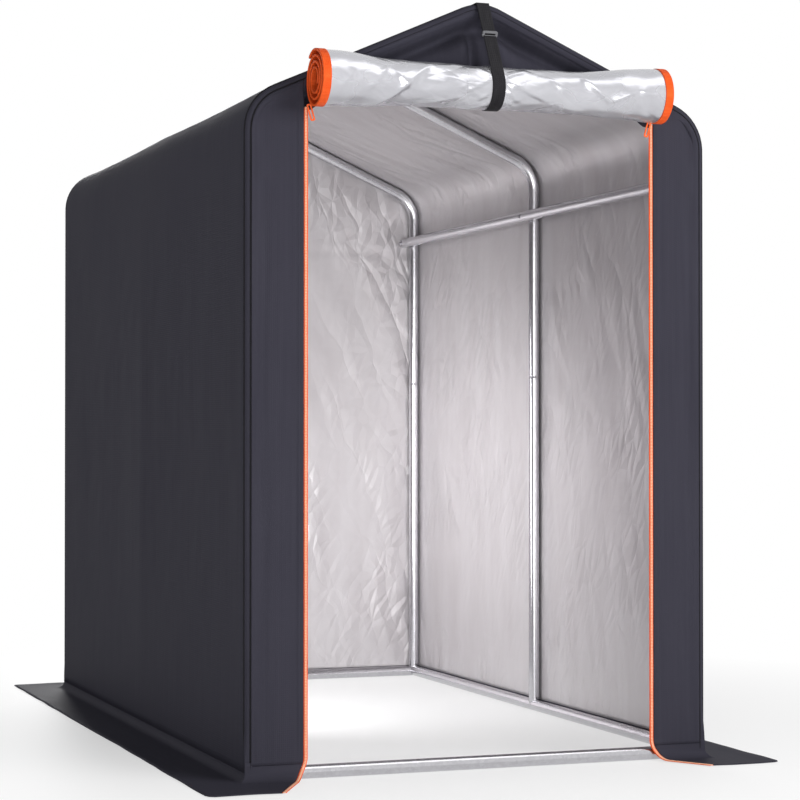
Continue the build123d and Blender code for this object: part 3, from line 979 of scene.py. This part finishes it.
def roll_points(places, spiral, proud=0.0):
    """Points of the roll at places along its length."""
    angles, radii, turns = spiral
    x, angle = np.meshgrid(places, angles, indexing="ij")
    x = x * (1 - CORE_SHORT * smooth(LOOSE_TURNS, LOOSE_TURNS + 0.4, turns))
    scale = roll_scale(x)
    radius = (radii[None, :] + proud) * scale + roll_creases(x, angle, turns[None, :])
    y = roll_back + BACK_GAP - ROLL_RADIUS * scale - radius * np.sin(angle)
    z = roll_middle_z + radius * np.cos(angle)
    return np.stack([x, y, z], axis=-1)


# %% [markdown]
# The ends of the door are bound in orange tape, which shows every layer of the roll from the side. The
# binding follows the same spiral, a little proud of the film and much thicker.

# %% Make the roll and its orange edging
EDGING = 0.024
EDGING_THICKNESS = 0.0065
FILM_END = 0.010
ROLL_COLUMNS = 189

spiral = roll_spiral()
roll_places = np.linspace(-door_half + FILM_END, door_half - FILM_END, ROLL_COLUMNS)
roll_grid = roll_points(roll_places, spiral)
roll = sheet_object("rolled_door", roll_grid, [roll_film, charcoal_cloth], flip=True)
for name, side in (("left", -1), ("right", 1)):
    near = np.array([0.0, 0.002, 0.008, 0.016, EDGING - 0.002, EDGING])
    places = np.sort(side * (door_half - near))
    grid = roll_points(places, [part[spiral[2] < LOOSE_TURNS] for part in spiral], EDGING_THICKNESS / 3)
    edging = sheet_object(f"door_edging_{name}", grid, [orange_tape], EDGING_THICKNESS, flip=True)
    dress(edging, "zip_tape", f"{name}_roll_binding")
dress(roll, "silver_lining", "door_roll")

# %% [markdown]
# ## The strap
# A strap of webbing is sewn over the ridge, comes down in front of the roll, goes under it and up behind it.
# It is pulled tight, so its line is the convex outline of the roll and the ridge, and a ribbon along that
# line is all it takes.

# %% Make the strap
STRAP_THICKNESS = 0.002
STRAP_TAB = 0.045
STRAP_GAP = 0.0022
STRAP_STEP = 0.006
RIDGE_FORWARD = 0.006
RIDGE_UP = 0.001
TAB_UP = 0.002
BEHIND_GAP = 0.004
BEHIND_UP = 0.03


def hull(points):
    """The convex outline of points in a plane, turning left from the lowest."""
    ordered = sorted(map(tuple, points), key=lambda p: (p[1], p[0]))
    outline = []
    for run in (ordered, ordered[::-1]):
        start = len(outline)
        for p in run:
            while len(outline) >= start + 2:
                (ax, ay), (bx, by) = outline[-2], outline[-1]
                if (bx - ax) * (p[1] - ay) - (by - ay) * (p[0] - ax) > 0:
                    break
                outline.pop()
            outline.append(p)
        outline.pop()
    return np.array(outline)


def strap_path():
    """The strap's line in the YZ plane: pulled tight over the ridge and round the roll, it is their hull."""
    under = roll_points(np.linspace(-strap_half, strap_half, 5), [part[:OUTER_POINTS] for part in spiral])
    middle = under[..., 1:].reshape(-1, 2).mean(axis=0)
    ridge = np.array([-half_depth - RIDGE_FORWARD, ridge_top + RIDGE_UP])
    outline = hull([*under[..., 1:].reshape(-1, 2), ridge])
    first = int(np.argmax(outline[:, 1]))
    outline = np.roll(outline, -first, axis=0)
    under_ridge, low_down = outline[:, 1] < ridge[1] - 0.05, outline[:, 1] < middle[1]
    back = int(np.argmax(outline[:, 0] * under_ridge + 9 * low_down))
    kept = outline[1 : back + 1]
    away = kept - middle
    kept = kept + STRAP_GAP * away / np.linalg.norm(away, axis=1)[:, None]
    tab = [[-half_depth + STRAP_TAB * share, ridge_top + TAB_UP] for share in (1.0, 0.5, 0.05)]
    behind = [[-half_depth - BEHIND_GAP, middle[1] + BEHIND_UP]]
    return np.array([*tab, *kept, *behind])


def resampled(path, step):
    """The same line, with points a step apart."""
    lengths = runs(path)
    places = np.linspace(0, lengths[-1], int(lengths[-1] / step))
    return np.stack([np.interp(places, lengths, path[:, k]) for k in range(path.shape[1])], axis=1)


line = resampled(strap_path(), STRAP_STEP)
across = np.array([-1.0, -0.9, 0.0, 0.9, 1.0]) * strap_half
x, y = np.meshgrid(across, line[:, 0])
z = np.meshgrid(across, line[:, 1])[1]
strap_grid = np.stack([x, y, z], axis=-1)
strap = sheet_object("door_strap_webbing", strap_grid, [black_webbing], STRAP_THICKNESS)
dress(strap, "webbing", "door_strap")

# %% [markdown]
# A slider on the strap's front run takes up the slack. It is a small moulded frame, cut as an outline with
# rounded corners and one opening, given its thickness by Solidify and its soft edges by a Bevel.

# %% Make the slider
SLIDER_HEIGHT = 0.018
SLIDER_RIM = 0.0065
SLIDER_THICKNESS = 0.006
SLIDER_PROUD = 0.0015
MOULD_EDGE = 0.001
CORNER_SHARE = 0.3


def rounded_loop(width, height, radius, steps=6):
    """Points round a rectangle with rounded corners, in its own plane."""
    points = []
    for k, (sx, sz) in enumerate(((1, 1), (-1, 1), (-1, -1), (1, -1))):
        for a in np.linspace(k * math.pi / 2, (k + 1) * math.pi / 2, steps):
            x = sx * (width / 2 - radius) + radius * math.cos(a)
            points.append((x, sz * (height / 2 - radius) + radius * math.sin(a)))
    return np.array(points)


def frame_object(name, width, height, rim, thickness, material):
    """A flat rounded frame with one opening, in the XZ plane about the origin, facing -Y."""
    corner = min(width, height) * CORNER_SHARE
    outer = rounded_loop(width, height, corner)
    inner = rounded_loop(width - 2 * rim, height - 2 * rim, corner - rim / 2)
    count = len(outer)
    vertices = [(x, 0, z) for x, z in np.vstack([outer, inner])]
    faces = [(k, (k + 1) % count, count + (k + 1) % count, count + k) for k in range(count)]
    mesh = bpy.data.meshes.new(name)
    mesh.from_pydata(vertices, [], faces)
    mesh.materials.append(material)
    piece = placed(name, mesh)
    skin = piece.modifiers.new("thickness", "SOLIDIFY")
    skin.thickness = thickness
    skin.offset = 0
    edge = piece.modifiers.new("soft_edges", "BEVEL")
    edge.width = MOULD_EDGE
    edge.segments = 3
    return piece


slider_low, slider_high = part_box("strap_buckle")
slider_middle = (slider_low + slider_high) / 2
front_run = line[: len(line) // 2]
nearest = int(np.argmin(np.abs(front_run[:, 1] - slider_middle.z)))
run_down = line[nearest + 1] - line[nearest - 1]
slider_width = slider_high.x - slider_low.x
slider = frame_object("strap_slider", slider_width, SLIDER_HEIGHT, SLIDER_RIM, SLIDER_THICKNESS, grey_plastic)
slider.rotation_euler.x = math.atan2(-run_down[0], -run_down[1])
slider.location = (0, line[nearest][0] - SLIDER_PROUD, line[nearest][1])
dress(slider, "buckle_plastic", "strap_buckle")

# %% [markdown]
# ## Zips
# An orange zip runs up each side of the doorway, and its tape goes on round the bend and along the edge of
# the flap. The tape is a ribbon, and the teeth are small blocks along its middle, joined as one mesh. The
# teeth are pale, a painted highlight along the zip.

# %% Make the zips
ZIP_WIDTH = 0.0125
ZIP_THICKNESS = 0.0016
ZIP_LIFT = 0.0012
ZIP_TOP = door_top - 0.038
ZIP_STEP = 0.012
TOOTH_PITCH = 0.0042
TOOTH_SIZE = (0.0062, 0.0030, 0.0026)
TOOTH_PROUD = (0, -0.0008, 0.0004)


def zip_line(grow):
    """The zip's line on the right, from the top of the doorway down, round the bend and out on the ground."""
    up = np.arange(ZIP_TOP, panel_foot + ZIP_STEP / 2, -ZIP_STEP)
    reach, heights, cloth_runs = skirt_section(FLAP_BEND, panel_foot)
    down = np.concatenate([up, heights[1:] + ZIP_LIFT])
    out = np.concatenate([0 * up, reach[1:]]) + ZIP_LIFT
    across = opening - grow + flare(np.concatenate([FLARE_START - up, cloth_runs[1:]]))
    return np.stack([across, -half_depth - out, down], axis=1)


def tooth_boxes(path, size):
    """Small blocks along a path, each with its long side across it, as one grid per block."""
    along = np.gradient(path, axis=0)
    along = along / np.linalg.norm(along, axis=1)[:, None]
    up = np.cross(along, (1.0, 0.0, 0.0))
    up = up / np.linalg.norm(up, axis=1)[:, None]
    across = np.cross(up, along)
    grids = []
    for point, a, b, c in zip(path, across, along, up):
        a, b, c = a * size[0] / 2, b * size[1] / 2, c * size[2] / 2
        ring = np.array([sa * a + sb * b for sa, sb in ((1, 1), (-1, 1), (-1, -1), (1, -1), (1, 1))])
        grids.append(np.array([point + c + 0 * ring, point + ring + c, point + ring - c]))
    return grids


for name, side in (("left", -1), ("right", 1)):
    ribbon = np.stack([zip_line(share * ZIP_WIDTH) for share in (0.0, 0.1, 0.5, 0.9, 1.0)], axis=1)
    ribbon = laid(ribbon * (side, 1, 1))
    tape = sheet_object(f"zip_{name}", ribbon, [orange_tape], ZIP_THICKNESS, flip=side > 0)
    dress(tape, "zip_tape", f"{name}_zip")
    path = resampled(laid(zip_line(ZIP_WIDTH * 0.5) * (side, 1, 1)), TOOTH_PITCH)
    # The teeth's pale tone is a painted highlight.
    teeth = joined(f"zip_teeth_{name}", tooth_boxes(path + TOOTH_PROUD, TOOTH_SIZE), coil_nylon_painted_highlight)
    dress(teeth, "zip_tape")

# %% [markdown]
# Each zip has a looped pull that hangs from its slider, swung a little out of the upright. It is the same
# kind of moulded frame as the strap's slider, so the same function makes it.

# %% Make the zip pulls
PULL_SWING = math.radians(16)
PULL_RIM = 0.0048
PULL_PROUD = 0.003

for name, side in (("left", -1), ("right", 1)):
    low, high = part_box(f"{name}_zip_pull")
    width, thickness, height = high - low
    pull = frame_object(f"zip_pull_{name}_tab", width, height, PULL_RIM, thickness, orange_plastic)
    swing = Matrix.Rotation(side * PULL_SWING, 4, "Y")
    pull.matrix_world = Matrix.Translation(((low.x + high.x) / 2, low.y - PULL_PROUD, high.z)) @ swing
    pull.data.transform(Matrix.Translation((0, 0, -height / 2)))
    dress(pull, "pull_plastic", f"{name}_zip_pull")

# %% [markdown]
# ## Arches and base
# The real tubes are stouter than their solids, so they are drawn again. Each arch is one line, up a post,
# round the eaves and over the ridge, with a groove where one tube enters the next. The base is four tubes
# with mitred corners. All keep the solids' outer side, against the cloth, and grow inwards.

# %% Make the arches and the base
TUBE_RADIUS = 0.019
TUBE_SIDES = 48
ARCH_STEP = 0.03
PEAK_JOINT = 0.073
GROOVE_DEPTH = 0.0014
GROOVE_WIDTH = 0.002

grown = TUBE_RADIUS - (post_high.x - post_low.x) / 2
stout_inset = tube_inset + grown
joint_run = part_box("front_right_rafter")[0].z - wall_foot
joints = [joint_run, arch_length / 2 - PEAK_JOINT, arch_length / 2 + PEAK_JOINT, arch_length - joint_run]
near_joints = [joint + np.linspace(-3, 3, 13) * GROOVE_WIDTH for joint in joints]
on_straights = np.arange(0, arch_length, ARCH_STEP)
on_straights = on_straights[np.abs(on_straights[:, None] - arch_run).min(axis=1) > ARCH_STEP / 3]
tube_run = np.unique(np.concatenate([on_straights, arch_run, *near_joints]).round(4))
groove = sum(np.exp(-(((tube_run - joint) / GROOVE_WIDTH) ** 2)) for joint in joints)
tube_radii = np.concatenate([[TUBE_RADIUS], TUBE_RADIUS - GROOVE_DEPTH * groove, [TUBE_RADIUS]])
tube_x, tube_z, _, _ = arch_at(tube_run, stout_inset)
tube_x = np.concatenate([tube_x[:1], tube_x, tube_x[-1:]])
tube_z = np.concatenate([[TUBE_RADIUS], tube_z, [TUBE_RADIUS]])


def mitred_tube(start, end, outward):
    """Points of a straight tube between two corners, longer on its outer side."""
    start, end, outward = (np.array(v, float) for v in (start, end, outward))
    along = (end - start) / np.linalg.norm(end - start)
    angles = np.linspace(0, 2 * math.pi, TUBE_SIDES + 1)
    out = TUBE_RADIUS * np.cos(angles)[:, None]
    ring = out * outward + TUBE_RADIUS * np.sin(angles)[:, None] * np.array((0, 0, 1))
    return np.array([start + ring - out * along, end + ring + out * along])


arch_places = {}
for arch_name, inward in (("front", 1), ("middle", 0), ("rear", -1)):
    low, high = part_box(f"{arch_name}_right_post")
    arch_places[arch_name] = (low.y + high.y) / 2 + inward * grown
arch_tubes = []
for y in arch_places.values():
    path = np.stack([tube_x, np.full_like(tube_x, y), tube_z], axis=-1)
    arch_tubes.append(tube_along(path, tube_radii, TUBE_SIDES, (0, 1, 0)))
arch_nodes = [
    f"{arch_name}_{part}"
    for arch_name in arch_places
    for part in ("left_post", "right_post", "left_rafter", "right_rafter", "peak_fitting")
]
dress(joined("frame_arches", arch_tubes, zinc_tube), "steel_tube", *arch_nodes)

base_x = half_width - stout_inset
corner_turns = ((-1, "front"), (1, "front"), (1, "rear"), (-1, "rear"))
base_corners = [(side * base_x, arch_places[end], TUBE_RADIUS) for side, end in corner_turns]
base_outward = {"front": (0, -1, 0), "right": (1, 0, 0), "rear": (0, 1, 0), "left": (-1, 0, 0)}
next_corners = base_corners[1:] + base_corners[:1]
base_tubes = [mitred_tube(*ends) for ends in zip(base_corners, next_corners, base_outward.values())]
base_nodes = [f"base_rail_{name}" for name in base_outward]
dress(joined("base_frame", base_tubes, zinc_tube), "steel_tube", *base_nodes)

# %% [markdown]
# ## Eave rails
# The rails are nearly as stout as the posts, so they are drawn again too. Each lies against the posts as its
# solid does. Its ends are cut square, with a broken edge, and show the bore. A tube and a bolt are both
# turned shapes, so one function makes the points of either from a profile.

# %% Make the eave rails
RAIL_RADIUS = 0.018
RAIL_WALL = 0.0012
SEAT_GAP = 0.0003
RAIL_EDGE = 0.0004
RAIL_BORE_SHOWN = 0.040


def turned_grid(profile, sides, place, axis):
    """Points of a turned shape from (radius, height) pairs, at a place, round a level axis."""
    angles = np.linspace(0, 2 * math.pi, sides + 1)[:, None]
    axis, up = np.array(axis, float), np.array((0.0, 0.0, 1.0))
    ring = np.cos(angles) * np.cross(axis, up) + np.sin(angles) * up
    return np.array([np.array(place) + height * axis + radius * ring for radius, height in profile])


def rail_profile(start, end):
    """Radii and places along a tube with square ends, from inside one end to inside the other."""
    bore = RAIL_RADIUS - RAIL_WALL
    first_end = [
        (bore, RAIL_BORE_SHOWN),
        (bore, 0.0),
        (RAIL_RADIUS - RAIL_EDGE, 0.0),
        (RAIL_RADIUS, RAIL_EDGE),
        (RAIL_RADIUS, 3 * RAIL_EDGE),
    ]
    return [(r, start + y) for r, y in first_end] + [(r, end - y) for r, y in reversed(first_end)]


rails, rail_lines = [], {}
for side_name, side in (("left", -1), ("right", 1)):
    rail_low, rail_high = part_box(f"{side_name}_eave_rail")
    rail_x = side * (half_width - stout_inset - TUBE_RADIUS - SEAT_GAP - RAIL_RADIUS)
    rail_z = (rail_low.z + rail_high.z) / 2
    rail_lines[side] = rail_x, rail_z
    profile = rail_profile(rail_low.y, rail_high.y)
    rails.append(turned_grid(profile, TUBE_SIDES, (rail_x, 0.0, rail_z), (0, 1, 0)))
dress(joined("eave_rails", rails, zinc_tube), "steel_tube", "left_eave_rail", "right_eave_rail")

# %% [markdown]
# ## Bolts
# The eave rails are bolted to the posts. Each bolt shows inside as a low hexagon on a washer.

# %% Make the bolts
BOLT_ACROSS = 0.011
BOLT_HEIGHT = 0.005
BOLT_CROWN = 0.0008
BOLT_SIDES = 6
WASHER_RADIUS = 0.009
WASHER_THICKNESS = 0.0012
WASHER_EDGE = 0.0004
WASHER_SUNK = 0.001
WASHER_SIDES = 20

washer = [
    (WASHER_RADIUS, -WASHER_SUNK),
    (WASHER_RADIUS, WASHER_THICKNESS - WASHER_EDGE),
    (WASHER_RADIUS * 0.9, WASHER_THICKNESS),
    (0, WASHER_THICKNESS),
]
head = [
    (BOLT_ACROSS / 2, WASHER_THICKNESS),
    (BOLT_ACROSS / 2, BOLT_HEIGHT),
    (BOLT_ACROSS * 0.4, BOLT_HEIGHT + BOLT_CROWN),
    (0, BOLT_HEIGHT + BOLT_CROWN),
]
bolts = []
for side, (rail_x, rail_z) in rail_lines.items():
    for arch_y in arch_places.values():
        place = (rail_x - side * RAIL_RADIUS, arch_y, rail_z)
        bolts.append(turned_grid(washer, WASHER_SIDES, place, (-side, 0, 0)))
        bolts.append(turned_grid(head, BOLT_SIDES, place, (-side, 0, 0)))
rail_bolts = joined("rail_bolts", bolts, zinc_tube)
rail_bolts.data.polygons.foreach_set("use_smooth", [False] * len(rail_bolts.data.polygons))
dress(rail_bolts, "steel_tube")

# %% [markdown]
# ## Floor
# The shelter stands on a pale studio floor that keeps its shadow and fades to white further off. Both the
# floor and the world are brighter to the eye than they are as lights, so one function tells the two kinds of
# rays apart.

# %% Make the floor
FLOOR_HALF = 14.0
FLOOR_DROP = 0.0005
FLOOR_PATCH_MM = 900.0
FADE_START = 0.9
FADE_END = 2.6
NEAR_WHITE = 0.50


def seen_rays(tree):
    """1 for rays from the eye, straight or by way of a reflection, and 0 for rays that carry light about."""
    path = add_node(tree, "ShaderNodeLightPath").outputs
    seen = path["Is Camera Ray"]
    for kind in ("Is Glossy Ray", "Is Transmission Ray"):
        seen = add_node(tree, "ShaderNodeMath", {0: seen, 1: path[kind]}, operation="MAXIMUM").outputs[0]
    return seen


def studio_floor(name):
    """Pale floor near the shelter. Further off it is plain white to the camera and in reflections."""
    material, tree, surface = new_material(name, roughness=0.55)
    place = add_node(tree, "ShaderNodeTexCoord").outputs["Object"]
    two_tones(tree, surface, stretched_noise(tree, place, (FLOOR_PATCH_MM,) * 3, 2.0), "#f4f4f5", "#f8f8f8")
    far = add_node(tree, "ShaderNodeVectorMath", {0: place}, operation="LENGTH").outputs["Value"]
    fading = {"Value": far, "From Min": FADE_START, "From Max": FADE_END, "To Min": NEAR_WHITE}
    fade = add_node(tree, "ShaderNodeMapRange", fading).outputs["Result"]
    share = add_node(tree, "ShaderNodeMath", {0: fade, 1: seen_rays(tree)}, operation="MULTIPLY").outputs[0]
    white = add_node(tree, "ShaderNodeEmission", {"Color": (1, 1, 1, 1), "Strength": 1.0}).outputs["Emission"]
    mixed = add_node(tree, "ShaderNodeMixShader", {0: share, 1: surface.outputs["BSDF"], 2: white})
    tree.links.new(mixed.outputs["Shader"], tree.nodes["Material Output"].inputs["Surface"])
    return material


floor_mesh = bpy.data.meshes.new("floor")
corners = [(sx * FLOOR_HALF, sy * FLOOR_HALF, -FLOOR_DROP) for sx, sy in ((-1, -1), (1, -1), (1, 1), (-1, 1))]
floor_mesh.from_pydata(corners, [], [(0, 1, 2, 3)])
floor_mesh.materials.append(studio_floor("pale_studio_floor"))
floor = placed("floor", floor_mesh)
print("made the floor")

# %% [markdown]
# ## World and lamps
# The main light is a large soft lamp at the front right. It would burn out the film where it mirrors, so it
# isn't seen in reflections, and a weak lamp above the door gives the film its gleam instead. Weak lamps at
# the front left, the left and the rear fill the shadows. A small one inside stands for the light that passes
# through the cloth.

# %% Light the scene
WORLD_LIGHT = 0.16


def studio_world():
    """A white surround, dimmer as a light than it looks."""
    world = bpy.data.worlds.new("studio")
    world.use_nodes = True
    tree = world.node_tree
    tree.nodes.clear()
    dimming = {"Value": seen_rays(tree), "To Min": WORLD_LIGHT, "To Max": 1.0}
    level = add_node(tree, "ShaderNodeMapRange", dimming)
    white = {"Color": (1, 1, 1, 1), "Strength": level.outputs["Result"]}
    back = add_node(tree, "ShaderNodeBackground", white)
    add_node(tree, "ShaderNodeOutputWorld", {"Surface": back.outputs["Background"]})
    bpy.context.scene.world = world


def area_light(name, place, target, width, height, watts, mirrored=True):
    """A soft light of a width and height at a place, turned to a target, and seen in mirrors or not."""
    light = bpy.data.lights.new(name, "AREA")
    light.shape = "RECTANGLE"
    light.size = width
    light.size_y = height
    light.energy = watts
    lamp = placed(name, light)
    lamp.visible_camera = False
    lamp.visible_glossy = mirrored
    lamp.location = place
    lamp.rotation_euler = (Vector(target) - Vector(place)).to_track_quat("-Z", "Y").to_euler()


studio_world()
area_light("key_light", (4.2, -6.8, 3.2), (0, 0, 1.0), 4.6, 3.6, 405, mirrored=False)
area_light("top_light", (1.6, -3.3, 5.5), (0, -1.3, 1.9), 4.0, 2.0, 40)
area_light("doorway_fill", (-1.6, -6.5, 0.9), (0.1, 0, 1.0), 3.2, 1.8, 125)
area_light("side_fill", (-6.0, -1.0, 0.8), (-0.7, 0, 1.0), 2.5, 1.6, 52)
area_light("rear_fill", (1.5, 7.0, 2.5), (0, 1.2, 1.0), 3.0, 3.0, 280)
area_light("inside_light", (-0.38, 0.0, 0.85), (0.33, 1.2, 0.25), 0.30, 1.0, 15)
bpy.context.scene.view_settings.view_transform = "Standard"
print("lit")
